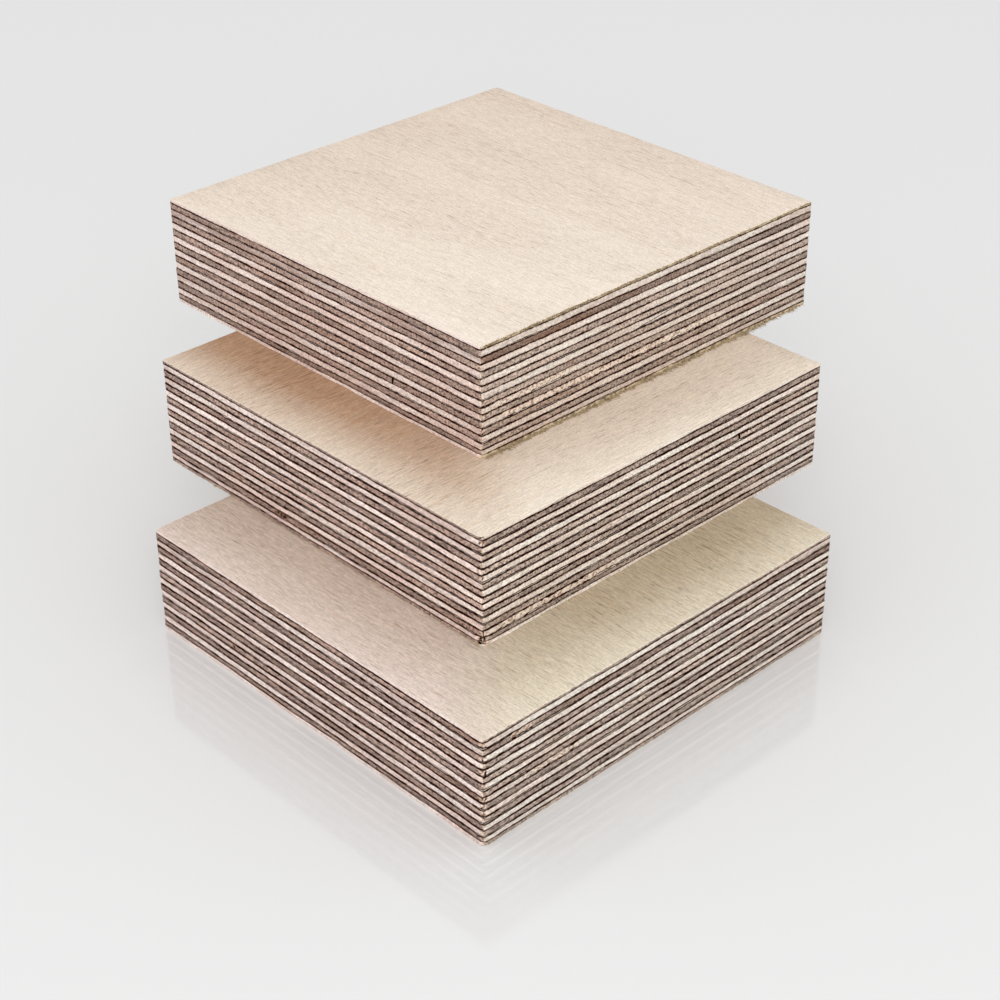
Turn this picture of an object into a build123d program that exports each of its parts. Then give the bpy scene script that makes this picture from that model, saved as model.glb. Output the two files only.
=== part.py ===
from build123d import *
import os

# A stepped stack of three square plywood boards, each glued up from cross-laid birch veneers.
# Every board sits back from the one below it, away from the front corner, so that two ledges show.
# The front corner of a board is the one with the lowest X and Y, its right corner lies along X from
# there and its left corner along Y. All lengths are in millimetres.

# Board
BOARD_LENGTH = 96.0  # along X
BOARD_WIDTH = 96.0  # along Y
FACE_VENEER = 0.6  # thickness of the sanded veneer on each side
CORE_VENEER = 1.52  # thickness of each veneer between them
CORE_COUNT = 15  # odd, so that both faces have the same grain

# Stack
BOARDS = ("lower", "middle", "upper")
TURNED_BOARDS = ("middle",)  # face grain along X, where the others have it along Y
SET_BACK_X = 19.0  # from each board to the next
SET_BACK_Y = 20.0

# Sawn and worn edges
ARRIS_ROUND = 0.3  # upright corners of every veneer
FACE_EASE = 0.12  # outer rim of the face veneers
SPLIT_CORNER_ROUND = 1.5  # corner of a face veneer that broke away
RUBBED_CORNER_ROUND = 0.9  # corner of a face veneer that was rubbed down
CORNERS = ("front", "right", "back", "left")
WORN_CORNERS = {
    ("lower_board_top_face", "left"): RUBBED_CORNER_ROUND,
    ("lower_board_bottom_face", "front"): RUBBED_CORNER_ROUND,
    ("middle_board_bottom_face", "front"): SPLIT_CORNER_ROUND,
    ("middle_board_top_face", "front"): RUBBED_CORNER_ROUND,
    ("upper_board_bottom_face", "front"): SPLIT_CORNER_ROUND,
}

# Open joints between two strips of a core veneer, as shares of the board across the grain
STRIP_GAP = 0.4
STRIP_GAP_SHARES = {
    "middle_board_core_11": 0.741,
    "upper_board_core_05": 0.263,
}

# Worked out from the sizes above
BOARD_THICKNESS = CORE_COUNT * CORE_VENEER + 2 * FACE_VENEER
HALF_LENGTH = BOARD_LENGTH / 2
HALF_WIDTH = BOARD_WIDTH / 2
RIM_ROUND = min(FACE_EASE, FACE_VENEER / 2, ARRIS_ROUND / 2)

os.makedirs("parts", exist_ok=True)

for level, board in enumerate(BOARDS):
    steps_from_middle = level - (len(BOARDS) - 1) / 2
    centre_x = steps_from_middle * SET_BACK_X
    centre_y = steps_from_middle * SET_BACK_Y
    layers = [("bottom_face", FACE_VENEER)]
    layers += [(f"core_{number:02d}", CORE_VENEER) for number in range(1, CORE_COUNT + 1)]
    layers += [("top_face", FACE_VENEER)]
    veneer_bottom = level * BOARD_THICKNESS

    for layer_number, (layer, thickness) in enumerate(layers):
        name = f"{board}_board_{layer}"
        crosses_faces = layer_number % 2 == 1
        grain_along_x = crosses_faces != (board in TURNED_BOARDS)
        corner_rounds = [WORN_CORNERS.get((name, corner), ARRIS_ROUND) for corner in CORNERS]

        with BuildPart() as veneer:
            with BuildSketch(Plane((centre_x, centre_y, veneer_bottom))):
                with BuildLine():
                    FilletPolyline(
                        (-HALF_LENGTH, -HALF_WIDTH),
                        (HALF_LENGTH, -HALF_WIDTH),
                        (HALF_LENGTH, HALF_WIDTH),
                        (-HALF_LENGTH, HALF_WIDTH),
                        radius=corner_rounds,
                        close=True,
                    )
                make_face()
            extrude(amount=thickness)

            # The outer rim of each face veneer is sanded round
            if layer == "top_face":
                fillet(veneer.faces().sort_by(Axis.Z)[-1].edges(), RIM_ROUND)
            if layer == "bottom_face":
                fillet(veneer.faces().sort_by(Axis.Z)[0].edges(), RIM_ROUND)

            # An open joint parts a core veneer into two strips, all the way along the grain
            if name in STRIP_GAP_SHARES:
                share = STRIP_GAP_SHARES[name]
                if grain_along_x:
                    gap_place = (0, share * BOARD_WIDTH - HALF_WIDTH)
                    gap_size = (BOARD_LENGTH, STRIP_GAP)
                else:
                    gap_place = (share * BOARD_LENGTH - HALF_LENGTH, 0)
                    gap_size = (STRIP_GAP, BOARD_WIDTH)
                with BuildSketch(Plane((centre_x, centre_y, veneer_bottom))):
                    with Locations(gap_place):
                        Rectangle(*gap_size)
                extrude(amount=thickness, mode=Mode.SUBTRACT)

        veneer.part.label = name
        export_step(veneer.part, f"parts/{name}.step")
        veneer_bottom += thickness
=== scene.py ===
import math

import bpy
import numpy as np
from mathutils import Matrix, Vector


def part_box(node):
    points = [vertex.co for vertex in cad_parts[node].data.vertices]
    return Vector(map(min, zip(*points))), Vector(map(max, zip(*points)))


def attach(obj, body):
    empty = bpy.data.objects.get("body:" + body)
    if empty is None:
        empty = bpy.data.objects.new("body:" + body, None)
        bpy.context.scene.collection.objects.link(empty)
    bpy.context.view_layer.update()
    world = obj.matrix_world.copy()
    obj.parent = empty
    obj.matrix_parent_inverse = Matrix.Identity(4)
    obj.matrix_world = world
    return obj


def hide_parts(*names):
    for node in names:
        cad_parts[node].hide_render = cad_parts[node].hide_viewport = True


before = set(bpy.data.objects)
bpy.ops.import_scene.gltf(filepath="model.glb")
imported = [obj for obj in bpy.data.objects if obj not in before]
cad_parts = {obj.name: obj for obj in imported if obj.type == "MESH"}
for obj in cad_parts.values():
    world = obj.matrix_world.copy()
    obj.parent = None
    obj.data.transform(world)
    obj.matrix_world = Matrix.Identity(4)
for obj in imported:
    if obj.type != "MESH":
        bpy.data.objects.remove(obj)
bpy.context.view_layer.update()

# The stack: three boards of cross-laid veneers. Lengths are in millimetres.
MM = 0.001
BOARDS = ("lower", "middle", "upper")
TURNED_BOARDS = ("middle",)  # face grain along X, where the others have it along Y
CORE_COUNT = 15
LAYERS = ["bottom_face"] + [f"core_{number:02d}" for number in range(1, CORE_COUNT + 1)] + ["top_face"]

# Sides of a board, from the front corner round: which way each runs, and outwards
SIDE_COUNT = 4
RIGHT, BACK_RIGHT, BACK_LEFT, LEFT = range(SIDE_COUNT)
SIDE_RUNS = np.array([(1.0, 0.0), (0.0, 1.0), (-1.0, 0.0), (0.0, -1.0)])
SIDE_OUTS = np.array([(0.0, -1.0), (1.0, 0.0), (0.0, 1.0), (-1.0, 0.0)])
SIDE_AXES = {RIGHT: 0, LEFT: 1}  # the axis along which places count from the front corner
FRONT, RIGHT_END, BACK, LEFT_END = range(SIDE_COUNT)  # the corners where the sides start

# Fineness of the meshes
SIDE_STEPS = 240  # along one side
ARC_STEPS = 2  # from the middle of a rounded corner to its end
COLUMNS = SIDE_STEPS + 2 * ARC_STEPS
HIDDEN_CELLS = 12  # coarse squares across a glued flat
SHOWN_CELLS = 24  # and across an outer one
ROW_SHARES = np.array([0.0, 0.1, 0.5, 0.9, 1.0])  # heights of the points on a sawn edge
UPPER_ROWS = ROW_SHARES > 0.5  # those above the middle
RIM_INSET = 0.25  # from a sawn edge to the rim of a flat
CAP_INSET = 4.0  # and to its coarse squares
SHARP_ANGLE = 40.0  # degrees

# Sawn and worn edges
ARRIS_ROUND = 0.3
SPLIT_CORNER_ROUND = 1.5
RUBBED_CORNER_ROUND = 0.9
WORN_CORNERS = {
    ("lower_board_top_face", LEFT_END): RUBBED_CORNER_ROUND,
    ("lower_board_bottom_face", FRONT): RUBBED_CORNER_ROUND,
    ("middle_board_bottom_face", FRONT): SPLIT_CORNER_ROUND,
    ("middle_board_top_face", FRONT): RUBBED_CORNER_ROUND,
    ("upper_board_bottom_face", FRONT): SPLIT_CORNER_ROUND,
}
GLUE_WAVE = 0.018  # how far the glue lines wander up and down
GLUE_WAVE_LENGTHS = (4.5, 8.0, 15.0, 31.0, 64.0)
BOTTOM_GLUE_RISE = 0.36  # how far the lowest glue line lies above its place in the plain part
GLUE_GROOVE = 0.06
FACE_GLUE_FACTOR = 2.4  # how much less glue shows on the edge of a face veneer
GLUE_SPREADS = {"lower": 0.07, "middle": 0.06, "upper": 0.01}  # how far the glue soaked into each edge
SIDE_GRAIN_SOAK = -0.02  # how much further where the saw went along the grain
END_GRAIN_SOAK = 0.03  # and where it went across
GLUE_STRETCH_WIDTHS = (-0.01, 0.09)  # how much wider from stretch to stretch
GLUE_WANDER_WIDTHS = (0.08, 0.15)  # and from place to place
GLUE_FLECK_WIDTH = 0.2  # how far the finest grain breaks up its edge
GLUE_BLACK_REACHES = (0.07, 0.14)  # from where to where its black fades
GLUE_BROWN_REACHES = (0.08, 0.3)  # and the brown beside it
GLUE_BROWN_SHARE = 0.6
SCARF_GLUE_FACTOR = 2.2  # how much less glue shows on a scarf joint
PROUD = 0.04  # how far one veneer may stand out past the next
PROUD_REACH = 41  # columns of points over which that changes
END_GRAIN_ROUGH = 0.04
END_GRAIN_REACH = 3
SIDE_GRAIN_ROUGH = 0.03
SIDE_GRAIN_REACH = 15
DEEPEST = 0.9  # furthest in of any point
PROUDEST = 0.16  # furthest out
TOP_RIM_DROP = 0.08  # from a top flat down to its sawn edge
BOTTOM_RIM_RISE = 0.14  # and from a bottom flat up

# Open joints between two strips of a core veneer, as shares of the board across the grain
STRIP_GAP = 0.4
STRIP_GAP_SHARES = {"middle_board_core_11": 0.741, "upper_board_core_05": 0.263}
# how dark the walls of an open joint are painted: painted shade in the gap
GAP_DARKNESS = 0.93

# Scarf joints, where two lengths of one veneer meet on a slant: side, start and end
SCARF_JOINTS = {"upper_board_core_09": (RIGHT, 41.0, 57.5)}

# Glue lines over a veneer that gape at the front corner: how far along, how much wider and how much deeper
GAPING_GLUE = {
    "upper": {},
    "middle": {"core_06": (1.2, 0.2, 0.2), "core_01": (3.0, 0.3, 0.3)},
    "lower": {
        "core_15": (1.6, 0.3, 0.3), "core_12": (1.4, 0.25, 0.2), "core_10": (1.4, 0.3, 0.3),
        "core_09": (1.2, 0.2, 0.2), "core_06": (2.8, 0.35, 0.3),
    },
}

# How light the sawn edges of each board are, and how faded
BOARD_TONES = {"lower": -0.45, "middle": 0.0, "upper": -0.05}
BOARD_FADE_SHARES = {"lower": 0.0, "middle": 0.0, "upper": 0.1}

# Veneers that look unlike the rest: how much lighter, and how much browner
VENEER_CHARACTERS = {
    "upper": {
        "core_15": (-0.7, 0.0), "core_14": (-1.0, 0.8), "core_13": (0.4, 0.0), "core_12": (0.4, 0.0),
        "core_07": (0.0, 0.2), "core_04": (0.1, 0.35),
    },
    "middle": {
        "core_15": (-0.5, 0.1), "core_14": (0.3, 0.0), "core_13": (0.0, 0.3), "core_12": (-0.3, 0.0),
        "core_11": (0.9, 0.0), "core_10": (0.1, 0.0), "core_08": (0.2, 0.0), "core_06": (0.6, 0.0),
        "core_04": (-0.4, 0.0), "core_02": (-0.4, 0.1), "core_01": (-0.7, 0.0), "bottom_face": (-0.6, 0.0),
    },
    "lower": {
        "core_14": (-0.5, 0.3), "core_12": (0.6, 0.0), "core_10": (0.5, 0.0), "core_09": (0.3, 0.0),
        "core_07": (-0.3, 0.3), "core_05": (0.5, 0.0), "core_03": (-0.5, 0.1), "core_01": (-0.5, 0.0),
    },
}
CHARACTER_SPREADS = (0.5, 0.08)  # how far the rest stray in the same two ways

# Heartwood that fades along a veneer: the axis, start, end and the share that is left
HEARTWOOD_FADES = {"upper_board_core_14": (0, 20.0, 60.0, 0.3)}

# Marks on a sawn edge: side, place along it, half length, darkness and depth
MARKS = {
    "upper": {"core_08": [(RIGHT, 23.8, 0.8, 0.6, 0.1)]},
    "middle": {
        "core_11": [
            (LEFT, 1.2, 0.25, 1.0, 0.3), (RIGHT, 70.8, 0.3, 1.0, 0.2), (RIGHT, 67.4, 1.6, 0.5, 0.1),
        ],
        "core_09": [(RIGHT, 82.0, 0.4, 0.8, 0.2)],
        "core_08": [(RIGHT, 33.5, 1.5, 0.5, 0.1), (RIGHT, 4.6, 0.7, 0.5, 0.1)],
        "core_04": [(LEFT, 72.5, 1.3, 0.45, 0.0)],
        "core_02": [(LEFT, 51.0, 5.5, 0.55, 0.0), (LEFT, 58.6, 2.6, 0.85, 0.0)],
        "core_01": [(LEFT, 1.0, 0.4, 0.9, 0.4)],
    },
    "lower": {"core_05": [(LEFT, 72.0, 0.6, 0.7, 0.1)]},
}
MARK_END_SHARE = 1.4  # where a mark ends, in half lengths

# Stretches where the saw tore a veneer: side, start and end
TORN_STRETCHES = {
    "upper": {"core_05": (RIGHT, 3.0, 70.0), "core_07": (RIGHT, 1.0, 30.0)},
    "middle": {"core_02": (RIGHT, 2.0, 40.0)},
    "lower": {"core_07": (RIGHT, 8.0, 30.0), "core_14": (RIGHT, 4.0, 18.0)},
}
TORN_FADE_IN = 4.0
TORN_FADE_OUT = 8.0
TORN_DEPTH = 0.1
TORN_ROUGH = 0.1
TORN_REACH = 2  # columns of points over which that changes

# Chipped front corners: how far the damage reaches and how deep it goes
CHIPS = {
    "upper": {"core_04": (1.2, 0.3)},
    "middle": {
        "top_face": (2.0, 0.5), "core_15": (1.3, 0.35), "core_10": (1.0, 0.3), "core_02": (1.4, 0.4),
        "core_01": (2.2, 0.7), "bottom_face": (2.8, 0.8),
    },
    "lower": {
        "core_15": (1.6, 0.45), "core_13": (1.8, 0.4), "core_12": (1.2, 0.4), "core_11": (1.6, 0.35),
        "core_09": (1.2, 0.4), "core_07": (1.8, 0.4), "core_06": (1.6, 0.35), "core_05": (1.2, 0.3),
    },
}
CHIP_TORN_FACTOR = 1.5  # how much faster its torn look grows
CHIP_HOLE_SHADE_FACTOR = 2.0  # and the painted shade in its holes
CHIP_HOLE_SHARE = 0.3  # how many of its points are holes
CHIP_SOUND_SHARE = 0.5  # how deep the other points are beside the holes

# The arris at the front corner, bruised pale: its shortest and longest reach, and its depth
BRUISE_REACHES = {"lower": (0.7, 2.0), "middle": (0.4, 1.2), "upper": (0.4, 1.2)}
BRUISE_DEPTH = 0.2

# The least and most of each kind of damage at one point, and of a mark in one row of points
MARK_POINT_SHARES, MARK_ROW_SHARES = (0.7, 1.0), (0.4, 1.0)
TORN_POINT_SHARES, CHIP_POINT_SHARES, BRUISE_POINT_SHARES = (0.3, 1.0), (0.5, 1.0), (0.2, 1.0)

# Frayed ends of face veneers, cut across the grain: fibres on a side, and their longest length
FRAYED = {("lower", RIGHT): (350, 0.7), ("middle", LEFT): (500, 0.9), ("upper", RIGHT): (1800, 2.2)}
PLAINLY_FRAYED = (150, 0.5)  # on all other sides
TORN_RIMS = (("upper", RIGHT),)  # where the whole edge of a face veneer is torn
TOP_FRAY_SHARE = 0.75  # how long the fibres of a top face are beside those of a bottom one
FRAY_FADE_SHARE = 0.5  # how much shorter they get towards the far end of a side
FRAY_END_SHARES = (0.01, 0.99)  # where along a side the fibres start and end
FIRST_CLUMP_WAVE, SECOND_CLUMP_WAVE = 47.0, 73.0  # radians a side
CLUMP_LEVEL = 0.6  # the higher it is, the wider the clumps
CLUMP_LEAST_SHARE = 0.5  # how long the fibres are between two clumps
FIBRE_LENGTH_SHAPES = (1.6, 2.6)  # of the beta spread of their lengths
FIBRE_HALF_WIDTHS = (0.03, 0.08)
FIBRE_TAPER_SHARE = 0.2  # how much thinner a fibre is in its middle
FIBRE_ROOT_DEPTH = 0.1  # how far inside the plain edge it starts
FIBRE_DEPTHS = (0.08, 0.4)  # how far from the flat it starts
TOP_FIBRE_LIFTS, BOTTOM_FIBRE_LIFTS = (-0.1, 1.6), (-0.4, 0.15)  # its rise for each millimetre out
FIBRE_SWAY = 0.45  # and its usual lean to either side

# Single fibres that stand out: side, place along it, length, and rise and lean for each millimetre out
LOOSE_FIBRES = {
    "upper": {"top_face": [(RIGHT, 10.6, 1.6, 1.5, 0.2), (RIGHT, 24.0, 1.0, 0.9, 0.0)]},
    "middle": {
        "top_face": [(LEFT, 1.0, 1.5, 0.3, -1.0)],
        "bottom_face": [
            (LEFT, 0.9, 2.6, 0.3, -4.0), (LEFT, 1.4, 1.4, 0.0, -1.0), (RIGHT, 1.1, 1.2, 0.1, 1.0),
        ],
    },
    "lower": {"top_face": [(LEFT, 82.7, 1.6, 0.2, 2.0)]},
}

# Painted shade on the top of each board, deepest by the board above: its share at the outer rims and at the
# board above, on the left and right
LEDGE_SHADE_SHARES = {"middle": (0.3, 0.88, 0.08, 0.2), "lower": (0.3, 0.5, 0.28, 0.7)}
LEDGE_PINK_SHARES = {"middle": (0.3, 0.3), "lower": (1.0, 0.0)}  # how pinkish rather than olive that painted shade is, on each side
GREY_SHADED_BOARDS = ("lower",)  # where the painted shade is grey rather than brown
LEDGE_REACH = 14.0  # from an outer rim to where the painted shade at the board above is full
LEDGE_LEAN = 14.0  # how gradually the left-hand painted shade turns into the right-hand one
LEDGE_FRONT_SHARE = 0.72  # how much of the painted shade there is at the front corner
LEDGE_LENGTH = 70.0  # from the front corner to where all of it is there
TOP_SHADE_SHARES = (0.0, 0.22)  # painted shade on the top board, darker towards the back: at the front corner and at the back one
# the same painted shade on the undersides of the boards
UNDERSIDE_SHADE_SHARE = 0.2

# Colours, as sRGB values out of 255
FACE_PALE = (254, 239, 223)
FACE_TAN = (239, 221, 204)
FACE_DASH = (186, 170, 158)
# the painted shade on the faces: brown on most boards, grey on the lower one
FACE_SHADE_BROWN = (187, 142, 108)
FACE_SHADE_GREY = (176, 152, 121)
LIGHT_PALE = (255, 246, 238)
LIGHT_DULL = (237, 218, 208)
DARK_GREY = (155, 141, 133)
DARK_TAN = (192, 174, 163)
DARK_PORE = (66, 48, 40)
HEART_BROWN = (134, 96, 74)
TORN_PALE = (248, 229, 208)
TORN_BROWN = (158, 110, 82)
FIBRE_PALE = (222, 203, 170)
FIBRE_DARK = (140, 119, 90)
GLUE_BLACK = (34, 13, 7)
GLUE_BROWN = (118, 54, 34)
FADED_TAN = (184, 165, 150)
# Tints of painted light: pinkish on two sides of each board and on some ledges, olive on the others
SIDE_PINK_TINT = (255, 247, 246)
END_PINK_TINT = (255, 243, 239)
OLIVE_TINT = (252, 251, 246)
FACE_PINK_TINT = (249, 248, 255)
FACE_OLIVE_TINT = (250, 255, 250)
FLOOR_GREY = (238, 238, 238)
BACKDROP_GREY = (232, 232, 232)

# Gloss of the wood, and depth of its finest relief
WOOD_SPECULAR = 0.05
FACE_BUMP = 0.03
SIDE_GRAIN_BUMP = 0.04
END_GRAIN_BUMP = 0.06
FIBRE_BUMP = 0.02

# Floor
FLOOR_ROUGHNESS = 0.1
FLOOR_IOR = 1.8
FLOOR_HALF_WIDTH = 2000.0

# Camera, from the photograph's vanishing lines, with its angles in degrees
CAMERA_AZIMUTH = -43.665
CAMERA_ELEVATION = 31.392
CAMERA_ROLL = -0.34
CAMERA_DISTANCE = 450.2
CAMERA_TARGET = (2.4, 0.0, 13.6)
CAMERA_LENS = 75.3
SENSOR_WIDTH = 36.0
CLIP_START = 10.0

# Light
WORLD_STRENGTH = 0.84
LAMP_PLACE = (-585.0, -630.0, 540.0)
LAMP_AIM = (0.0, 0.0, 40.0)
LAMP_SIZE = 585.0
LAMP_WATTS = 2.85

# Steps and shifts between the seeds of the random draws
VENEER_SEED_STEP = 1000
STRIP_SEED_STEP = 20000
GLUE_SEED_STEP = 100
FIBRE_SEED_SHIFT = 77
CHARACTER_SEED_SHIFT = 500

# Sockets of a Mix node for colours
MIX_SHARE, MIX_FIRST, MIX_SECOND, MIX_RESULT = 0, 6, 7, 2


def linear(srgb):
    """An sRGB colour out of 255 as linear values with full opacity."""
    values = []
    for value in srgb:
        share = value / 255
        values.append(((share + 0.055) / 1.055) ** 2.4 if share > 0.04045 else share / 12.92)
    return values + [1.0]


class Graph:
    """A material's node tree, with one call for each kind of node."""

    def __init__(self, name):
        self.material = bpy.data.materials.new(name)
        self.material.use_nodes = True
        self.nodes = self.material.node_tree.nodes
        self.links = self.material.node_tree.links
        self.shader = self.nodes["Principled BSDF"]

    def put(self, socket, value):
        """A link from another node's output, or a plain value, which for a colour is in sRGB."""
        if isinstance(value, bpy.types.NodeSocket):
            self.links.new(value, socket)
        else:
            socket.default_value = linear(value) if socket.type == "RGBA" else value

    def attribute(self, name, output="Fac"):
        node = self.nodes.new("ShaderNodeAttribute")
        node.attribute_name = name
        return node.outputs[output]

    def noise(self, scales, detail=2.0, rough=0.5):
        """Noise with its scales per millimetre along the grain, across it, and from one veneer to another."""
        stretched = self.nodes.new("ShaderNodeVectorMath")
        stretched.operation = "MULTIPLY"
        self.put(stretched.inputs[0], self.attribute("grain_mm", "Vector"))
        self.put(stretched.inputs[1], scales)
        node = self.nodes.new("ShaderNodeTexNoise")
        self.put(node.inputs["Vector"], stretched.outputs[0])
        node.inputs["Scale"].default_value = 1.0
        node.inputs["Detail"].default_value = detail
        node.inputs["Roughness"].default_value = rough
        return node.outputs["Fac"]

    def step(self, value, start, end, low=0.0, high=1.0):
        """A soft step from low to high while the value goes from start to end."""
        node = self.nodes.new("ShaderNodeMapRange")
        node.interpolation_type = "SMOOTHSTEP"
        given = {"Value": value, "From Min": start, "From Max": end, "To Min": low, "To Max": high}
        for name, setting in given.items():
            self.put(node.inputs[name], setting)
        return node.outputs["Result"]

    def math(self, operation, *values):
        node = self.nodes.new("ShaderNodeMath")
        node.operation = operation
        for socket, value in zip(node.inputs, values):
            self.put(socket, value)
        return node.outputs[0]

    def blend(self, share, first, second, kind="MIX"):
        node = self.nodes.new("ShaderNodeMix")
        node.data_type = "RGBA"
        node.blend_type = kind
        self.put(node.inputs[MIX_SHARE], share)
        self.put(node.inputs[MIX_FIRST], first)
        self.put(node.inputs[MIX_SECOND], second)
        return node.outputs[MIX_RESULT]

    def brighten(self, colour, factor):
        node = self.nodes.new("ShaderNodeVectorMath")
        node.operation = "SCALE"
        self.put(node.inputs[0], colour)
        self.put(node.inputs["Scale"], factor)
        return node.outputs[0]

    def finish(self, colour, rough, height, relief):
        bump = self.nodes.new("ShaderNodeBump")
        bump.inputs["Distance"].default_value = relief * MM
        self.put(bump.inputs["Height"], height)
        self.put(self.shader.inputs["Base Color"], colour)
        self.put(self.shader.inputs["Roughness"], rough)
        self.put(self.shader.inputs["Normal"], bump.outputs["Normal"])
        self.shader.inputs["Specular IOR Level"].default_value = WOOD_SPECULAR
        return self.material


def with_heartwood(graph, colour, patches, most):
    """The colour turned brown in patches, by how much heartwood its veneer has."""
    warm = graph.math("MULTIPLY", graph.attribute("warm"), graph.step(patches, 0.35, 0.6, most / 4, most))
    return graph.blend(warm, colour, HEART_BROWN)


def with_tone(graph, colour, strength, pink_tint):
    """The colour shifted by how pale and faded its veneer is, and tinted by painted light: pinkish on two of
    the sides, olive on the others.
    """
    tone = graph.math("MULTIPLY_ADD", graph.attribute("tone"), strength, 1.0)
    colour = graph.blend(graph.attribute("faded"), graph.brighten(colour, tone), FADED_TAN)
    tint = graph.blend(graph.attribute("pink"), OLIVE_TINT, pink_tint)
    return graph.blend(1.0, colour, tint, "MULTIPLY")


def with_edge_marks(graph, colour, fine, soak):
    """The colour with torn fibres, the dark glue line along each neighbour, and stains, with painted shade in
    chip holes and open joints.
    """
    torn = graph.math("MULTIPLY", graph.attribute("torn"), 0.85)
    flecks = graph.blend(graph.step(fine, 0.36, 0.54), TORN_BROWN, TORN_PALE)
    colour = graph.blend(torn, colour, flecks)
    stretches = graph.step(graph.noise((0.07, 0.6, 1.0)), 0.35, 0.65, *GLUE_STRETCH_WIDTHS)
    wander = graph.step(graph.noise((0.5, 0.6, 1.0), 2.0, 0.6), 0.25, 0.75, *GLUE_WANDER_WIDTHS)
    scarf = graph.math("MULTIPLY", graph.math("ABSOLUTE", graph.attribute("scarf_mm")), SCARF_GLUE_FACTOR)
    nearest = graph.math("MINIMUM", graph.attribute("glue_mm"), scarf)
    distance = graph.math("MULTIPLY_ADD", fine, GLUE_FLECK_WIDTH, nearest)
    beyond = graph.math("SUBTRACT", distance, graph.math("ADD", stretches, wander))
    brown = graph.step(beyond, *(soak + reach for reach in GLUE_BROWN_REACHES), GLUE_BROWN_SHARE, 0.0)
    black = graph.step(beyond, *(soak + reach for reach in GLUE_BLACK_REACHES), 1.0, 0.0)
    colour = graph.blend(brown, colour, GLUE_BROWN)
    colour = graph.blend(black, colour, GLUE_BLACK)
    # stains, with painted shade in chip holes and on the walls of open joints
    stain_and_shade = graph.math("MULTIPLY_ADD", fine, -0.5, graph.attribute("stain_and_shade"))
    colour = graph.blend(graph.step(stain_and_shade, -0.2, 0.3, 0.0, 0.6), colour, HEART_BROWN)
    return graph.blend(graph.step(stain_and_shade, 0.2, 0.35), colour, GLUE_BLACK)


def face_wood():
    """The sanded face of birch: pale, with short fine dashes along the grain, darkened by painted shade and
    tinted by painted light.
    """
    graph = Graph("birch_face")
    broad = graph.noise((0.02, 0.07, 1.0), 3.0)
    streaks = graph.noise((0.05, 1.3, 1.0), 3.0, 0.65)
    scratches = graph.noise((0.14, 3.4, 1.0), 1.0)
    dashes = graph.noise((0.34, 4.8, 1.0), 2.0, 0.6)
    fibres = graph.noise((0.4, 4.2, 1.0), 1.0)
    dust = graph.noise((2.4, 3.2, 1.0), 1.0)
    shade = graph.attribute("shade")
    base = graph.blend(graph.step(broad, 0.3, 0.75, 0.0, 0.4), FACE_PALE, FACE_TAN)
    # painted shade, brown on most boards and grey on the lower one
    brown = graph.blend(graph.attribute("grey_shade"), FACE_SHADE_BROWN, FACE_SHADE_GREY)
    base = graph.blend(shade, base, brown)
    # a tint of painted light, between olive and pink
    tint = graph.blend(graph.attribute("pink"), FACE_OLIVE_TINT, FACE_PINK_TINT)
    base = graph.blend(1.0, base, tint, "MULTIPLY")
    # the grain shows stronger where the painted shade is deeper
    strength = graph.math("MULTIPLY_ADD", shade, 0.9, 1.0)
    density = graph.math("MULTIPLY", graph.step(broad, 0.35, 0.65, 0.25, 0.75), strength)
    scratched = graph.math("MULTIPLY", graph.step(scratches, 0.66, 0.78, 0.0, 0.8), density)
    dashed = graph.math("MULTIPLY", graph.step(dashes, 0.56, 0.74, 0.0, 0.9), density)
    streaked = graph.math("MULTIPLY", graph.step(streaks, 0.5, 0.8, 0.0, 0.4), strength)
    for amount, darker in ((streaked, FACE_TAN), (scratched, FACE_DASH), (dashed, FACE_DASH)):
        base = graph.blend(amount, base, darker, "MULTIPLY")
    swing = graph.math("MULTIPLY_ADD", shade, 0.08, 0.06)
    base = graph.brighten(base, graph.math("MULTIPLY_ADD", graph.step(fibres, 0.3, 0.7, -1.0), swing, 1.0))
    base = graph.brighten(base, graph.step(dust, 0.3, 0.7, 0.91, 1.08))
    rough = graph.step(dashes, 0.3, 0.8, 0.62, 0.82)
    return graph.finish(base, rough, graph.math("SUBTRACT", dust, dashes), FACE_BUMP)


def side_wood():
    """The sawn edge of a veneer along its grain: pale and streaked lengthwise."""
    graph = Graph("birch_side_grain")
    broad = graph.noise((0.06, 0.4, 1.0), 2.0)
    streaks = graph.noise((0.3, 2.6, 1.0), 3.0, 0.65)
    flecks = graph.noise((1.9, 2.5, 1.0), 1.0)
    base = graph.blend(graph.step(broad, 0.3, 0.72), LIGHT_PALE, LIGHT_DULL)
    base = with_heartwood(graph, base, broad, 0.55)
    base = graph.brighten(base, graph.step(streaks, 0.25, 0.8, 1.07, 0.85))
    base = graph.brighten(base, graph.step(flecks, 0.3, 0.7, 0.77, 1.17))
    base = with_tone(graph, base, 0.1, SIDE_PINK_TINT)
    colour = with_edge_marks(graph, base, flecks, SIDE_GRAIN_SOAK)
    rough = graph.step(streaks, 0.2, 0.8, 0.7, 0.85)
    return graph.finish(colour, rough, graph.math("ADD", streaks, flecks), SIDE_GRAIN_BUMP)


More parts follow.
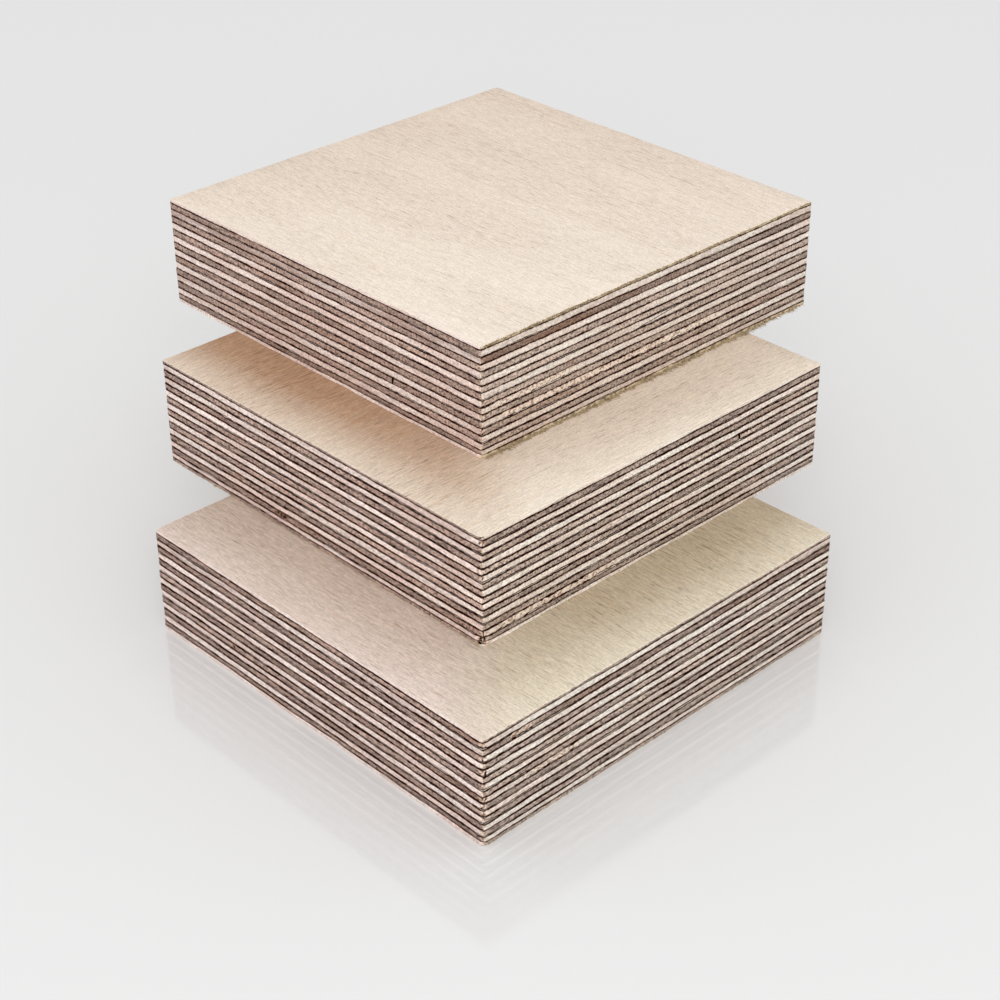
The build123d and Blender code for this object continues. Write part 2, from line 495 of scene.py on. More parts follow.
def end_wood():
    """The sawn edge of a veneer across its grain: grey-brown and speckled with open pores."""
    graph = Graph("birch_end_grain")
    broad = graph.noise((0.09, 0.5, 1.0), 3.0, 0.6)
    flush = graph.noise((0.05, 0.3, 2.0), 2.0)
    speckle = graph.noise((2.1, 2.5, 1.0), 1.0)
    base = graph.blend(graph.step(broad, 0.3, 0.7), DARK_GREY, DARK_TAN)
    base = graph.blend(graph.step(flush, 0.54, 0.72, 0.0, 0.2), base, HEART_BROWN)
    base = with_heartwood(graph, base, flush, 1.0)
    base = graph.brighten(base, graph.step(speckle, 0.3, 0.7, 0.58, 1.52))
    base = graph.blend(graph.step(speckle, 0.4, 0.26, 0.0, 0.6), base, DARK_PORE)
    base = with_tone(graph, base, 0.2, END_PINK_TINT)
    colour = with_edge_marks(graph, base, speckle, END_GRAIN_SOAK)
    rough = graph.step(speckle, 0.2, 0.8, 0.75, 0.92)
    return graph.finish(colour, rough, speckle, END_GRAIN_BUMP)


def fibre_wood():
    """Loose fibres of a torn rim: olive brown, each a little unlike the next."""
    graph = Graph("birch_fibres")
    mottle = graph.noise((0.8, 1.0, 3.0), 2.0, 0.6)
    base = graph.blend(graph.step(mottle, 0.35, 0.65), FIBRE_DARK, FIBRE_PALE)
    colour = with_edge_marks(graph, base, mottle, END_GRAIN_SOAK)
    rough = graph.step(mottle, 0.2, 0.8, 0.75, 0.9)
    return graph.finish(colour, rough, mottle, FIBRE_BUMP)


MATERIALS = (face_wood(), side_wood(), end_wood(), fibre_wood())
FACE_GRAIN, SIDE_GRAIN, END_GRAIN, FIBRES = range(len(MATERIALS))


def glue_line(seed, rise):
    """The wander of one glue line round a height, as a function from places in the XY plane to heights."""
    random = np.random.default_rng(seed)
    turns = random.uniform(0.0, math.tau, len(GLUE_WAVE_LENGTHS))
    starts = random.uniform(0.0, math.tau, len(GLUE_WAVE_LENGTHS))

    def height(places):
        total = np.zeros(places.shape[:-1])
        for length, turn, start in zip(GLUE_WAVE_LENGTHS, turns, starts):
            across = places[..., 0] * math.cos(turn) + places[..., 1] * math.sin(turn)
            total += np.sin(math.tau * across / length + start)
        return rise + GLUE_WAVE * total / math.sqrt(len(GLUE_WAVE_LENGTHS) / 2)

    return height


def flat(places):
    """The even height of an outer face."""
    return np.zeros(places.shape[:-1])


def ease(share):
    """A share from zero to one with a soft start and end."""
    share = np.clip(share, 0.0, 1.0)
    return share * share * (3 - 2 * share)


def smoothed(values, reach):
    """Values round a closed outline, averaged over a number of columns and kept as strong."""
    window = np.hanning(reach + 2)[1:-1]
    window /= math.sqrt((window * window).sum())
    wrapped = np.concatenate([values[..., -reach:], values, values[..., :reach]], axis=-1)
    rows = [np.convolve(row, window, "same")[reach:-reach] for row in wrapped.reshape(-1, wrapped.shape[-1])]
    return np.array(rows).reshape(values.shape)


def corners_of(low, high):
    """The four upright corners of a board or strip, from the front one round."""
    return np.array([(low[0], low[1]), (high[0], low[1]), (high[0], high[1]), (low[0], high[1])])


def outline(low, high, rounds):
    """Points round a rectangle with rounded corners, from the front one on, and their outward directions."""
    corners = corners_of(low, high)
    half_turn = math.pi / SIDE_COUNT
    places, outs = [], []
    for side in range(SIDE_COUNT):
        run, out = SIDE_RUNS[side], SIDE_OUTS[side]
        start, end = corners[side], corners[(side + 1) % SIDE_COUNT]
        start_round, end_round = rounds[side], rounds[(side + 1) % SIDE_COUNT]
        for step in range(ARC_STEPS):
            angle = half_turn * (1 + step / ARC_STEPS)
            direction = out * math.sin(angle) - run * math.cos(angle)
            places.append(start + start_round * (run - out + direction))
            outs.append(direction)
        first = start + start_round * run
        last = end - end_round * run
        for step in range(SIDE_STEPS + 1):
            places.append(first + (last - first) * step / SIDE_STEPS)
            outs.append(out)
        for step in range(1, ARC_STEPS):
            angle = half_turn * step / ARC_STEPS
            direction = out * math.cos(angle) + run * math.sin(angle)
            places.append(end + end_round * (direction - run - out))
            outs.append(direction)
    return np.array(places), np.array(outs)


# What a point carries where nothing else is given
POINT_VALUES = {"glue_mm": 1.0, "scarf_mm": 9.0, "stain_and_shade": 0.0, "torn": 0.0, "shade": 0.0, "pink": 0.5}
# How far apart in the noise the veneers, their faces and their fibres lie
SEED_APART, SIDE_APART, FIBRE_APART = 7.3, 31.7, 0.37


class Shell:
    """Points, faces and what they carry, gathered for one mesh."""

    def __init__(self):
        self.points, self.faces, self.materials = [], [], []
        self.corner_grain, self.corner_uv = [], []
        self.values = {name: [] for name in POINT_VALUES}
        self.count = 0

    def add_points(self, points, **given):
        points = np.reshape(points, (-1, 3))
        self.points.append(points)
        for name, usual in POINT_VALUES.items():
            self.values[name].append(np.broadcast_to(np.ravel(given.get(name, usual)), len(points)))
        self.count += len(points)
        return np.arange(self.count - len(points), self.count)

    def add_faces(self, faces, material, grain, uv):
        self.faces += faces.tolist()
        self.materials.append(np.full(len(faces), material))
        self.corner_grain.append(np.reshape(grain, (-1, 3)))
        self.corner_uv.append(np.reshape(uv, (-1, 2)))


def grid_quads(rows):
    """What lies at the four corners of each square between neighbouring rows of a grid."""
    quads = np.stack([rows[:-1, :-1], rows[:-1, 1:], rows[1:, 1:], rows[1:, :-1]], axis=2)
    return quads.reshape(-1, SIDE_COUNT, *rows.shape[2:])


def cap_faces(rim, grid):
    """Triangles from a fine rim to a coarse grid of squares inside it, seen from above."""
    cells = len(grid) - 1
    ratio = SIDE_STEPS // cells
    half = ratio // 2
    ring = np.concatenate([grid[0, :-1], grid[:-1, -1], grid[-1, :0:-1], grid[:0:-1, 0]])
    triangles = []
    for side in range(SIDE_COUNT):
        start = side * COLUMNS
        arc = [rim[(start + step) % len(rim)] for step in range(-ARC_STEPS, ARC_STEPS + 1)]
        triangles += [(one, two, ring[side * cells]) for one, two in zip(arc[:-1], arc[1:])]
        for cell in range(cells):
            near = ring[side * cells + cell]
            far = ring[(side * cells + cell + 1) % len(ring)]
            first = start + ARC_STEPS + cell * ratio
            fine = rim[first:first + ratio + 1]
            triangles += [(fine[step], fine[step + 1], near) for step in range(half)]
            triangles.append((fine[half], far, near))
            triangles += [(fine[step], fine[step + 1], far) for step in range(half, ratio)]
    return np.array(triangles)


# Places on the texture map, as shares of its width
MAP_EDGE_SHARE = 0.01
MAP_MARGIN = 1.0  # left round a flat for what stands out past it
CORE_BAND_SHARE, CORE_BAND_START_SHARE, CORE_CAP_SHARE = 0.19, 0.205, 0.18
FACE_BAND_SHARE, FACE_BAND_PITCH_SHARE = 0.04, 0.045
FACE_CAP_SHARE, FACE_CAP_START_SHARE = 0.78, 0.21
FIBRE_START_SHARES, FIBRE_SIZE_SHARES = (0.81, 0.42), (0.17, 0.56)


def band_on_map(is_face, side):
    """Lowest and highest place on the map of one sawn side."""
    if is_face:
        low = MAP_EDGE_SHARE + side * FACE_BAND_PITCH_SHARE
        return low, low + FACE_BAND_SHARE
    low = CORE_BAND_START_SHARE + side * (CORE_BAND_SHARE + MAP_EDGE_SHARE)
    return low, low + CORE_BAND_SHARE


def cap_on_map(is_face, is_outer, is_top):
    """Corner and width on the map of a veneer's flat."""
    if is_face and is_outer:
        return np.array([MAP_EDGE_SHARE, FACE_CAP_START_SHARE]), FACE_CAP_SHARE
    if is_face:
        return np.array([FACE_CAP_SHARE + 2 * MAP_EDGE_SHARE, FACE_CAP_START_SHARE]), CORE_CAP_SHARE
    start = MAP_EDGE_SHARE + is_top * (CORE_CAP_SHARE + MAP_EDGE_SHARE)
    return np.array([start, MAP_EDGE_SHARE]), CORE_CAP_SHARE


class Veneer:
    """One veneer of one board: where it lies, how its grain runs and what its mesh is gathered in."""

    def __init__(self, level, board, number, heights):
        self.board = board
        self.layer = LAYERS[number]
        self.node = f"{board}_board_{self.layer}"
        self.seed = VENEER_SEED_STEP * level + number
        self.low, self.high = (np.array(corner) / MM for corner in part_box(self.node))
        self.thickness = self.high[2] - self.low[2]
        self.heights = heights
        self.glued = (self.layer != "bottom_face", self.layer != "top_face")
        self.is_face = not all(self.glued)
        self.grain_along_x = (number % 2 == 1) != (board in TURNED_BOARDS)
        self.end_sides = (BACK_RIGHT, LEFT) if self.grain_along_x else (RIGHT, BACK_LEFT)
        self.rounds = [WORN_CORNERS.get((self.node, corner), ARRIS_ROUND) for corner in range(SIDE_COUNT)]
        self.shell = Shell()

    def strips(self):
        """The strips it is made of: low and high corners, and the sides that face an open joint."""
        if self.node not in STRIP_GAP_SHARES:
            return [(self.low, self.high, ())]
        axis = 1 if self.grain_along_x else 0
        gap_middle = self.low[axis] + STRIP_GAP_SHARES[self.node] * (self.high[axis] - self.low[axis])
        near_high, far_low = self.high.copy(), self.low.copy()
        near_high[axis] = gap_middle - STRIP_GAP / 2
        far_low[axis] = gap_middle + STRIP_GAP / 2
        near_side, far_side = (BACK_LEFT, RIGHT) if self.grain_along_x else (BACK_RIGHT, LEFT)
        return [(self.low, near_high, (near_side,)), (far_low, self.high, (far_side,))]

    def own(self, table, usual=None):
        """What a table by board and layer holds for this veneer."""
        return table[self.board].get(self.layer, usual)

    def along(self, places, side):
        """How far each place lies along a side from the front corner."""
        return places[:, SIDE_AXES[side]] - self.low[SIDE_AXES[side]]


def edge_relief(random, ends, glued):
    """How far each point of a sawn edge stands out, by row and column."""
    size = (len(ROW_SHARES), len(ends))
    across_grain = smoothed(random.normal(0.0, END_GRAIN_ROUGH, size), END_GRAIN_REACH)
    along_grain = smoothed(random.normal(0.0, SIDE_GRAIN_ROUGH, size), SIDE_GRAIN_REACH)
    relief = np.where(ends, across_grain, along_grain)
    relief += smoothed(random.normal(0.0, PROUD, (1, len(ends))), PROUD_REACH)
    relief[0] -= GLUE_GROOVE * glued[0]
    relief[-1] -= GLUE_GROOVE * glued[1]
    return relief


def edge_damage(veneer, random, places, side_of, relief):
    """Marks, tears, chips and bruises worked into the relief, how stained each point is, with painted shade
    in chip holes, and how torn each point is.
    """
    stain_and_shade = np.zeros(relief.shape)
    torn = np.zeros(relief.shape)
    from_front = np.linalg.norm(places - veneer.low[:2], axis=-1)
    for side, middle, half_length, darkness, depth in veneer.own(MARKS, ()):
        offset = veneer.along(places, side) - middle
        amount = ease(MARK_END_SHARE - np.abs(offset) / half_length) * (side_of == side)
        amount = amount * random.uniform(*MARK_ROW_SHARES, (len(ROW_SHARES), 1))
        amount = amount * random.uniform(*MARK_POINT_SHARES, relief.shape)
        stain_and_shade = np.maximum(stain_and_shade, amount * darkness)
        relief -= amount * depth
    if veneer.own(TORN_STRETCHES):
        side, start, end = veneer.own(TORN_STRETCHES)
        along = veneer.along(places, side)
        faded = ease((along - start) / TORN_FADE_IN) * ease((end - along) / TORN_FADE_OUT)
        amount = faded * (side_of == side)
        rough = smoothed(random.normal(0.0, TORN_ROUGH, relief.shape), TORN_REACH)
        torn = np.maximum(torn, amount * random.uniform(*TORN_POINT_SHARES, relief.shape))
        relief += amount * (rough - TORN_DEPTH)
    if veneer.own(CHIPS):
        reach, depth = veneer.own(CHIPS)
        amount = ease(1 - from_front / reach) * random.uniform(*CHIP_POINT_SHARES, relief.shape)
        torn = np.maximum(torn, np.minimum(1.0, amount * CHIP_TORN_FACTOR))
        # holes in a chip, deeper and painted dark: painted shade in the hollows
        holes = random.uniform(0.0, 1.0, relief.shape) < CHIP_HOLE_SHARE
        stain_and_shade = np.maximum(stain_and_shade, np.minimum(1.0, amount * CHIP_HOLE_SHADE_FACTOR) * holes)
        relief -= amount * depth * np.where(holes, 1.0, CHIP_SOUND_SHARE)
    if veneer.own(GAPING_GLUE):
        reach, _, depth = veneer.own(GAPING_GLUE)
        relief[UPPER_ROWS] -= depth * ease(1 - from_front / reach)
    bruise_reach = random.uniform(*BRUISE_REACHES[veneer.board])
    bruise = ease(1 - from_front / bruise_reach) * random.uniform(*BRUISE_POINT_SHARES, relief.shape)
    torn = np.maximum(torn, bruise)
    relief -= bruise * BRUISE_DEPTH
    return np.clip(relief, -DEEPEST, PROUDEST), stain_and_shade, torn


def glue_distance(veneer, places, share):
    """How far up or down each point of one row lies from the nearest glue line."""
    below = share if veneer.glued[0] else 1.0
    above = 1 - share if veneer.glued[1] else 1.0
    distance = min(below, above) * veneer.thickness * (FACE_GLUE_FACTOR if veneer.is_face else 1)
    distance = np.full(len(places), distance - GLUE_SPREADS[veneer.board])
    if veneer.own(GAPING_GLUE) and above < below:
        reach, wider, _ = veneer.own(GAPING_GLUE)
        distance -= wider * ease(1 - np.linalg.norm(places - veneer.low[:2], axis=-1) / reach)
    return distance


def scarf_distance(veneer, places, side_of, share):
    """How far up or down each point of one row lies from a scarf joint in the veneer."""
    if veneer.node not in SCARF_JOINTS:
        return POINT_VALUES["scarf_mm"]
    side, start, end = SCARF_JOINTS[veneer.node]
    distance = (share - (veneer.along(places, side) - start) / (end - start)) * veneer.thickness
    return np.where(side_of == side, distance, POINT_VALUES["scarf_mm"])


def face_shade(veneer, places, is_top):
    """How much painted shade an outer face gets at each place, and how pinkish that painted shade is."""
    if not is_top:
        return UNDERSIDE_SHADE_SHARE, POINT_VALUES["pink"]
    from_left = places[..., 0] - veneer.low[0]
    from_right = places[..., 1] - veneer.low[1]
    if veneer.board not in LEDGE_SHADE_SHARES:
        front, back = TOP_SHADE_SHARES
        across = (from_left + from_right) / (veneer.high - veneer.low)[:2].sum()
        return front + (back - front) * ease(across), POINT_VALUES["pink"]
    left_rim, left_wall, right_rim, right_wall = LEDGE_SHADE_SHARES[veneer.board]
    left = left_rim + (left_wall - left_rim) * ease(from_left / LEDGE_REACH)
    right = right_rim + (right_wall - right_rim) * ease(from_right / LEDGE_REACH)
    lean = ease((from_right - from_left) / LEDGE_LEAN / 2 + 0.5)
    from_front = np.maximum(from_left, from_right)
    strength = LEDGE_FRONT_SHARE + (1 - LEDGE_FRONT_SHARE) * ease(from_front / LEDGE_LENGTH)
    left_pink, right_pink = LEDGE_PINK_SHARES[veneer.board]
    return (right + (left - right) * lean) * strength, right_pink + (left_pink - right_pink) * lean


class Strip:
    """One strip of a veneer: where it lies, its outline and its share of the texture map."""

    def __init__(self, veneer, low, high, gap_sides, index, count):
        self.veneer = veneer
        self.low, self.high = low, high
        self.gap_sides = gap_sides
        self.seed = veneer.seed + STRIP_SEED_STEP * index
        self.map_start, self.map_width = index / count, 1 / count
        self.places, self.outs = outline(low, high, veneer.rounds)


def add_edge_points(strip):
    """The points of a strip's sawn edge, as rows of point numbers from the bottom up."""
    veneer, places = strip.veneer, strip.places
    random = np.random.default_rng(strip.seed)
    side_of = np.repeat(np.arange(SIDE_COUNT), COLUMNS)
    relief = edge_relief(random, np.isin(side_of, veneer.end_sides), veneer.glued)
    relief, stain_and_shade, torn = edge_damage(veneer, random, places, side_of, relief)
    # the walls of an open joint, painted dark: painted shade
    stain_and_shade = np.where(np.isin(side_of, strip.gap_sides), GAP_DARKNESS, stain_and_shade)
    # painted light: a pinkish tint on two sides, olive on the others
    pink = np.isin(side_of, (LEFT, BACK_RIGHT)).astype(float)
    bottom_of, top_of = veneer.heights
    rows = []
    for row, share in enumerate(ROW_SHARES):
        row_places = places + strip.outs * relief[row][:, None]
        bottom = strip.low[2] + bottom_of(row_places) + BOTTOM_RIM_RISE * (not veneer.glued[0])
        top = strip.high[2] + top_of(row_places) - TOP_RIM_DROP * (not veneer.glued[1])
        points = np.column_stack([row_places, bottom + (top - bottom) * share])
        glue = glue_distance(veneer, places, share)
        scarf = scarf_distance(veneer, places, side_of, share)
        given = {"glue_mm": glue, "scarf_mm": scarf, "stain_and_shade": stain_and_shade[row], "torn": torn[row], "pink": pink}
        rows.append(veneer.shell.add_points(points, **given))
    return np.array(rows)


def add_sides(strip, edge):
    """The four sawn sides of a strip, between the rows of points on its edge."""
    veneer = strip.veneer
    up, along = np.meshgrid(ROW_SHARES, np.linspace(0.0, 1.0, COLUMNS + 1), indexing="ij")
    map_along = strip.map_start + (MAP_EDGE_SHARE + (1 - 2 * MAP_EDGE_SHARE) * along) * strip.map_width
    for side in range(SIDE_COUNT):
        columns = (side * COLUMNS + np.arange(COLUMNS + 1)) % len(strip.places)
        length = abs(np.dot(SIDE_RUNS[side], strip.high[:2] - strip.low[:2]))
        own = np.full(up.shape, strip.seed * SEED_APART + side * SIDE_APART)
        grain = np.stack([along * length, up * veneer.thickness, own], axis=-1)
        band_low, band_high = band_on_map(veneer.is_face, side)
        uv = np.stack([map_along, band_low + (band_high - band_low) * up], axis=-1)
        material = END_GRAIN if side in veneer.end_sides else SIDE_GRAIN
        if veneer.is_face and (veneer.board, side) in TORN_RIMS:
            material = FIBRES
        veneer.shell.add_faces(grid_quads(edge[:, columns]), material, grid_quads(grain), grid_quads(uv))


def add_flat(strip, edge_row, is_top):
    """The top or bottom of a strip: a fine rim inside its sawn edge, and a coarse grid inside that."""
    veneer, shell = strip.veneer, strip.veneer.shell
    low, high = strip.low, strip.high
    level = high[2] if is_top else low[2]
    height_of = veneer.heights[is_top]
    outer = not veneer.glued[is_top]
    cells = SHOWN_CELLS if outer else HIDDEN_CELLS
    xs = np.linspace(low[0] + CAP_INSET, high[0] - CAP_INSET, cells + 1)
    ys = np.linspace(low[1] + CAP_INSET, high[1] - CAP_INSET, cells + 1)
    numbers = []
    for spots in (strip.places - strip.outs * RIM_INSET, np.stack(np.meshgrid(xs, ys), axis=-1)):
        points = np.concatenate([spots, (level + height_of(spots))[..., None]], axis=-1)
        glue = veneer.thickness if outer else 0.0
        shade, pink = face_shade(veneer, spots, is_top)
        numbers.append(shell.add_points(points, glue_mm=glue, shade=shade, pink=pink))
    rim = numbers[0]
    grid = numbers[1].reshape(cells + 1, cells + 1)
    around = grid_quads(np.array([np.append(edge_row, edge_row[0]), np.append(rim, rim[0])]))
    every_point = np.concatenate(shell.points)
    corner, width = cap_on_map(veneer.is_face, outer, is_top)
    own_place = strip.seed * SEED_APART + (SIDE_COUNT + is_top) * SIDE_APART
    for faces in (around, cap_faces(rim, grid), grid_quads(grid)):
        faces = faces if is_top else faces[:, ::-1]
        at = every_point[faces]
        run, over = (at[..., 0], at[..., 1]) if veneer.grain_along_x else (at[..., 1], at[..., 0])
        grain = np.stack([run, over, np.full(run.shape, own_place)], axis=-1)
        shares = (at[..., :2] - low[:2] + MAP_MARGIN) / (high[:2] - low[:2] + 2 * MAP_MARGIN)
        uv = corner + width * np.clip(shares, 0.0, 1.0)
        uv[..., 0] = strip.map_start + uv[..., 0] * strip.map_width
        shell.add_faces(faces, FACE_GRAIN, grain, uv)


def add_strip(strip):
    """A strip of a veneer as a closed shape: four sawn sides and two flats."""
    edge = add_edge_points(strip)
    add_sides(strip, edge)
    add_flat(strip, edge[0], False)
    add_flat(strip, edge[-1], True)


# A fibre is a three-sided spike: points 0 to 2 are its root, 3 to 5 its middle, and 6 is its tip
SPIKE_SIDES = 3
SPIKE_FACES = np.array([
    (0, 1, 4), (1, 2, 5), (2, 0, 3), (0, 4, 3), (1, 5, 4), (2, 3, 5),
    (3, 4, 6), (4, 5, 6), (5, 3, 6), (2, 1, 0),
])
SPIKE_MIDDLE_SHARE = 0.55
SPIKE_UP_SHARES = np.array([0.0] * SPIKE_SIDES + [SPIKE_MIDDLE_SHARE] * SPIKE_SIDES + [1.0])
SPIKE_ROUND_SHARES = np.array([0.1, 0.4, 0.7, 0.2, 0.5, 0.8, 0.9])


def frayed_fibres(veneer):
    """Roots, directions, lengths and half widths of the fibres along the cross-cut rims of a face veneer."""
    random = np.random.default_rng(veneer.seed + FIBRE_SEED_SHIFT)
    is_top = veneer.layer == "top_face"
    lifts = TOP_FIBRE_LIFTS if is_top else BOTTOM_FIBRE_LIFTS
    corners = corners_of(veneer.low, veneer.high)
    roots, forwards, runs, lengths = [], [], [], []
    for side in veneer.end_sides:
        count, longest = FRAYED.get((veneer.board, side), PLAINLY_FRAYED)
        run, out = SIDE_RUNS[side], SIDE_OUTS[side]
        start, end = corners[side], corners[(side + 1) % SIDE_COUNT]
        along = np.sort(random.uniform(*FRAY_END_SHARES, count))
        waves = np.sin(along * FIRST_CLUMP_WAVE + veneer.seed) * np.sin(along * SECOND_CLUMP_WAVE + side)
        clumps = CLUMP_LEAST_SHARE + (1 - CLUMP_LEAST_SHARE) * ease(waves + CLUMP_LEVEL)
        if is_top:
            clumps *= TOP_FRAY_SHARE * (1 - FRAY_FADE_SHARE * (along if side == RIGHT else 1 - along))
        lift = random.uniform(*lifts, count)
        sway = random.normal(0.0, FIBRE_SWAY, count)
        depth = random.uniform(*FIBRE_DEPTHS, count)
        level = veneer.high[2] - depth if is_top else veneer.low[2] + depth
        roots.append(np.column_stack([start + np.outer(along, end - start) - out * FIBRE_ROOT_DEPTH, level]))
        forwards.append(np.column_stack([out + np.outer(sway, run), lift]))
        runs.append(np.tile(np.append(run, 0.0), (count, 1)))
        lengths.append(longest * random.beta(*FIBRE_LENGTH_SHAPES, count) * clumps + FIBRE_ROOT_DEPTH)
    for side, along, length, lift, lean in veneer.own(LOOSE_FIBRES, ()):
        run, out = SIDE_RUNS[side], SIDE_OUTS[side]
        root = corners[FRONT] + along * np.abs(run) - out * FIBRE_ROOT_DEPTH
        roots.append([np.append(root, (veneer.low[2] + veneer.high[2]) / 2)])
        forwards.append([np.append(out + lean * run, lift)])
        runs.append([np.append(run, 0.0)])
        lengths.append([length])
    lengths = np.concatenate(lengths)
    half_widths = random.uniform(*FIBRE_HALF_WIDTHS, len(lengths))
    return np.concatenate(roots), np.concatenate(forwards), np.concatenate(runs), lengths, half_widths


def add_fibres(veneer):
    """The frayed fibres of a face veneer, each a thin spike with a closed root."""
    roots, forwards, runs, lengths, half_widths = frayed_fibres(veneer)
    count = len(roots)
    forwards = forwards / np.linalg.norm(forwards, axis=1, keepdims=True)
    sideways = runs * half_widths[:, None]
    upward = np.outer(half_widths, (0.0, 0.0, 1.0))
    section = np.stack([-sideways - upward / 2, sideways - upward / 2, upward], axis=1)
    reach = (forwards * lengths[:, None])[:, None, :]
    root_rings = roots[:, None, :] + section
    middle_rings = root_rings + reach * SPIKE_MIDDLE_SHARE - section * FIBRE_TAPER_SHARE
    points = np.concatenate([root_rings, middle_rings, roots[:, None, :] + reach], axis=1)
    points[..., 2] = np.maximum(points[..., 2], veneer.low[2])
    numbers = veneer.shell.add_points(points).reshape(count, -1)
    up = np.broadcast_to(SPIKE_UP_SHARES[SPIKE_FACES], (count,) + SPIKE_FACES.shape)
    order = np.arange(count)[:, None, None]
    turn = SPIKE_ROUND_SHARES[SPIKE_FACES]
    grain = np.stack(np.broadcast_arrays(up * lengths[:, None, None], turn, FIBRE_APART * order), axis=-1)
    start, size = FIBRE_START_SHARES, FIBRE_SIZE_SHARES
    uv = np.stack([start[0] + size[0] * up, start[1] + size[1] * (order + turn) / count], axis=-1)
    veneer.shell.add_faces(numbers[:, SPIKE_FACES].reshape(-1, SPIKE_SIDES), FIBRES, grain, uv)


def point_values(veneer):
    """What each point of a veneer's mesh carries, by name."""
    shell = veneer.shell
    random = np.random.default_rng(veneer.seed + CHARACTER_SEED_SHIFT)
    tone_spread, warm_spread = CHARACTER_SPREADS
    own_character = (random.normal(0.0, tone_spread), abs(random.normal(0.0, warm_spread)))
    tone, warm = veneer.own(VENEER_CHARACTERS, own_character)
    values = {name: np.concatenate(parts) for name, parts in shell.values.items()}
    own = {"tone": tone + BOARD_TONES[veneer.board], "faded": BOARD_FADE_SHARES[veneer.board], "warm": warm}
    own["grey_shade"] = float(veneer.board in GREY_SHADED_BOARDS)
    for name, value in own.items():
        values[name] = np.full(shell.count, value)
    if veneer.node in HEARTWOOD_FADES:
        axis, start, end, left = HEARTWOOD_FADES[veneer.node]
        along = np.concatenate(shell.points)[:, axis] - veneer.low[axis]
        values["warm"] *= 1 - (1 - left) * ease((along - start) / (end - start))
    return values


def veneer_piece(veneer):
    """A Blender object made from the gathered shape, riding on the part in place of its CAD veneer."""
    shell = veneer.shell
    mesh = bpy.data.meshes.new(f"{veneer.node}_veneer")
    mesh.from_pydata((np.concatenate(shell.points) * MM).tolist(), [], shell.faces)
    for name, numbers in point_values(veneer).items():
        mesh.attributes.new(name, "FLOAT", "POINT").data.foreach_set("value", numbers.astype(np.float32))
    grain = np.concatenate(shell.corner_grain).astype(np.float32)
    mesh.attributes.new("grain_mm", "FLOAT_VECTOR", "CORNER").data.foreach_set("vector", grain.ravel())
    uv = np.concatenate(shell.corner_uv).astype(np.float32)
    mesh.uv_layers.new(name="OFBake").data.foreach_set("uv", uv.ravel())
    for material in MATERIALS:
        mesh.materials.append(material)
    mesh.polygons.foreach_set("material_index", np.concatenate(shell.materials).astype(np.int32))
    mesh.polygons.foreach_set("use_smooth", np.ones(len(mesh.polygons), dtype=bool))
    mesh.set_sharp_from_angle(angle=math.radians(SHARP_ANGLE))
    mesh.update()
    piece = bpy.data.objects.new(f"{veneer.node}_veneer", mesh)
    bpy.context.scene.collection.objects.link(piece)
    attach(piece, "root")
    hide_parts(veneer.node)


def build_board(level, board):
    """All veneers of one board, with glue lines that neighbouring veneers share."""
    heights = [flat]
    for line, rise in enumerate([BOTTOM_GLUE_RISE] + [0.0] * CORE_COUNT, start=1):
        heights.append(glue_line(GLUE_SEED_STEP * level + line, rise))
    heights.append(flat)
    for number in range(len(LAYERS)):
        veneer = Veneer(level, board, number, heights[number:number + 2])
        strips = veneer.strips()
        for index, (low, high, gap_sides) in enumerate(strips):
            add_strip(Strip(veneer, low, high, gap_sides, index, len(strips)))
        if veneer.is_face:
            add_fibres(veneer)
        veneer_piece(veneer)


for level, board in enumerate(BOARDS):
    build_board(level, board)


def plain_floor():
    """A pale, slightly glossy floor under the stack."""
    graph = Graph("floor")
    for name, value in (("Base Color", FLOOR_GREY), ("Roughness", FLOOR_ROUGHNESS), ("IOR", FLOOR_IOR)):
        graph.put(graph.shader.inputs[name], value)
    half = FLOOR_HALF_WIDTH * MM
    corners = [(-half, -half, 0.0), (half, -half, 0.0), (half, half, 0.0), (-half, half, 0.0)]
    mesh = bpy.data.meshes.new("floor")
    mesh.from_pydata(corners, [], [(0, 1, 2, 3)])
    mesh.materials.append(graph.material)
    floor = bpy.data.objects.new("floor", mesh)
    bpy.context.scene.collection.objects.link(floor)


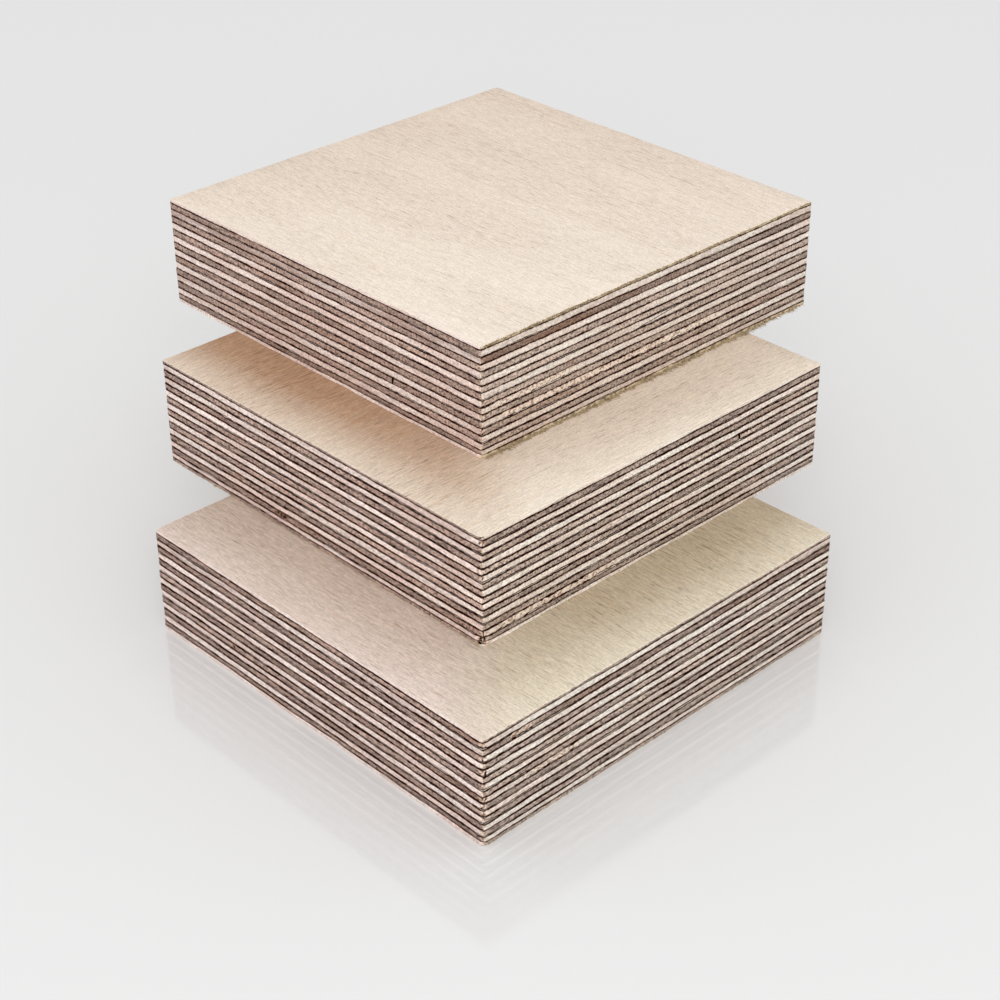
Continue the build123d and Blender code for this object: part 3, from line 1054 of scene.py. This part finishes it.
def surround_with_light():
    """Soft light from all round, and a plain backdrop."""
    world = bpy.data.worlds.new("studio")
    bpy.context.scene.world = world
    world.use_nodes = True
    nodes, links = world.node_tree.nodes, world.node_tree.links
    rays = nodes.new("ShaderNodeLightPath")
    shown = rays.outputs["Is Camera Ray"]
    for kind in ("Is Glossy Ray", "Is Transmission Ray"):
        either = nodes.new("ShaderNodeMath")
        either.operation = "MAXIMUM"
        links.new(shown, either.inputs[0])
        links.new(rays.outputs[kind], either.inputs[1])
        shown = either.outputs[0]
    colour = nodes.new("ShaderNodeMix")
    colour.data_type = "RGBA"
    colour.inputs[MIX_FIRST].default_value = [WORLD_STRENGTH] * 3 + [1.0]
    colour.inputs[MIX_SECOND].default_value = linear(BACKDROP_GREY)
    links.new(shown, colour.inputs[MIX_SHARE])
    links.new(colour.outputs[MIX_RESULT], nodes["Background"].inputs["Color"])


def hang_lamp():
    """One large lamp in front, to the left, that neither the camera nor a reflection shows."""
    lamp = bpy.data.lights.new("front_lamp", "AREA")
    lamp.shape = "DISK"
    lamp.size = LAMP_SIZE * MM
    lamp.energy = LAMP_WATTS
    lamp_object = bpy.data.objects.new("front_lamp", lamp)
    lamp_object.location = Vector(LAMP_PLACE) * MM
    aim = (Vector(LAMP_AIM) - Vector(LAMP_PLACE)) * MM
    lamp_object.rotation_euler = aim.to_track_quat("-Z", "Y").to_euler()
    lamp_object.visible_camera = False
    lamp_object.visible_glossy = False
    bpy.context.scene.collection.objects.link(lamp_object)


def place_camera():
    """A camera at the photograph's viewing angle."""
    azimuth = math.radians(CAMERA_AZIMUTH)
    elevation = math.radians(CAMERA_ELEVATION)
    roll = math.radians(CAMERA_ROLL)
    level_back = Vector((math.sin(azimuth), -math.cos(azimuth), 0.0))
    back = level_back * math.cos(elevation) + Vector((0.0, 0.0, math.sin(elevation)))
    level_right = Vector((math.cos(azimuth), math.sin(azimuth), 0.0))
    level_up = back.cross(level_right)
    right = level_right * math.cos(roll) + level_up * math.sin(roll)
    up = level_up * math.cos(roll) - level_right * math.sin(roll)
    data = bpy.data.cameras.new("camera")
    data.sensor_width = SENSOR_WIDTH
    data.lens = CAMERA_LENS
    data.clip_start = CLIP_START * MM
    camera = bpy.data.objects.new("camera", data)
    place = (Vector(CAMERA_TARGET) + back * CAMERA_DISTANCE) * MM
    camera.matrix_world = Matrix.Translation(place) @ Matrix((right, up, back)).transposed().to_4x4()
    bpy.context.scene.collection.objects.link(camera)
    bpy.context.scene.camera = camera


plain_floor()
surround_with_light()
hang_lamp()
place_camera()
bpy.context.scene.view_settings.view_transform = "Standard"
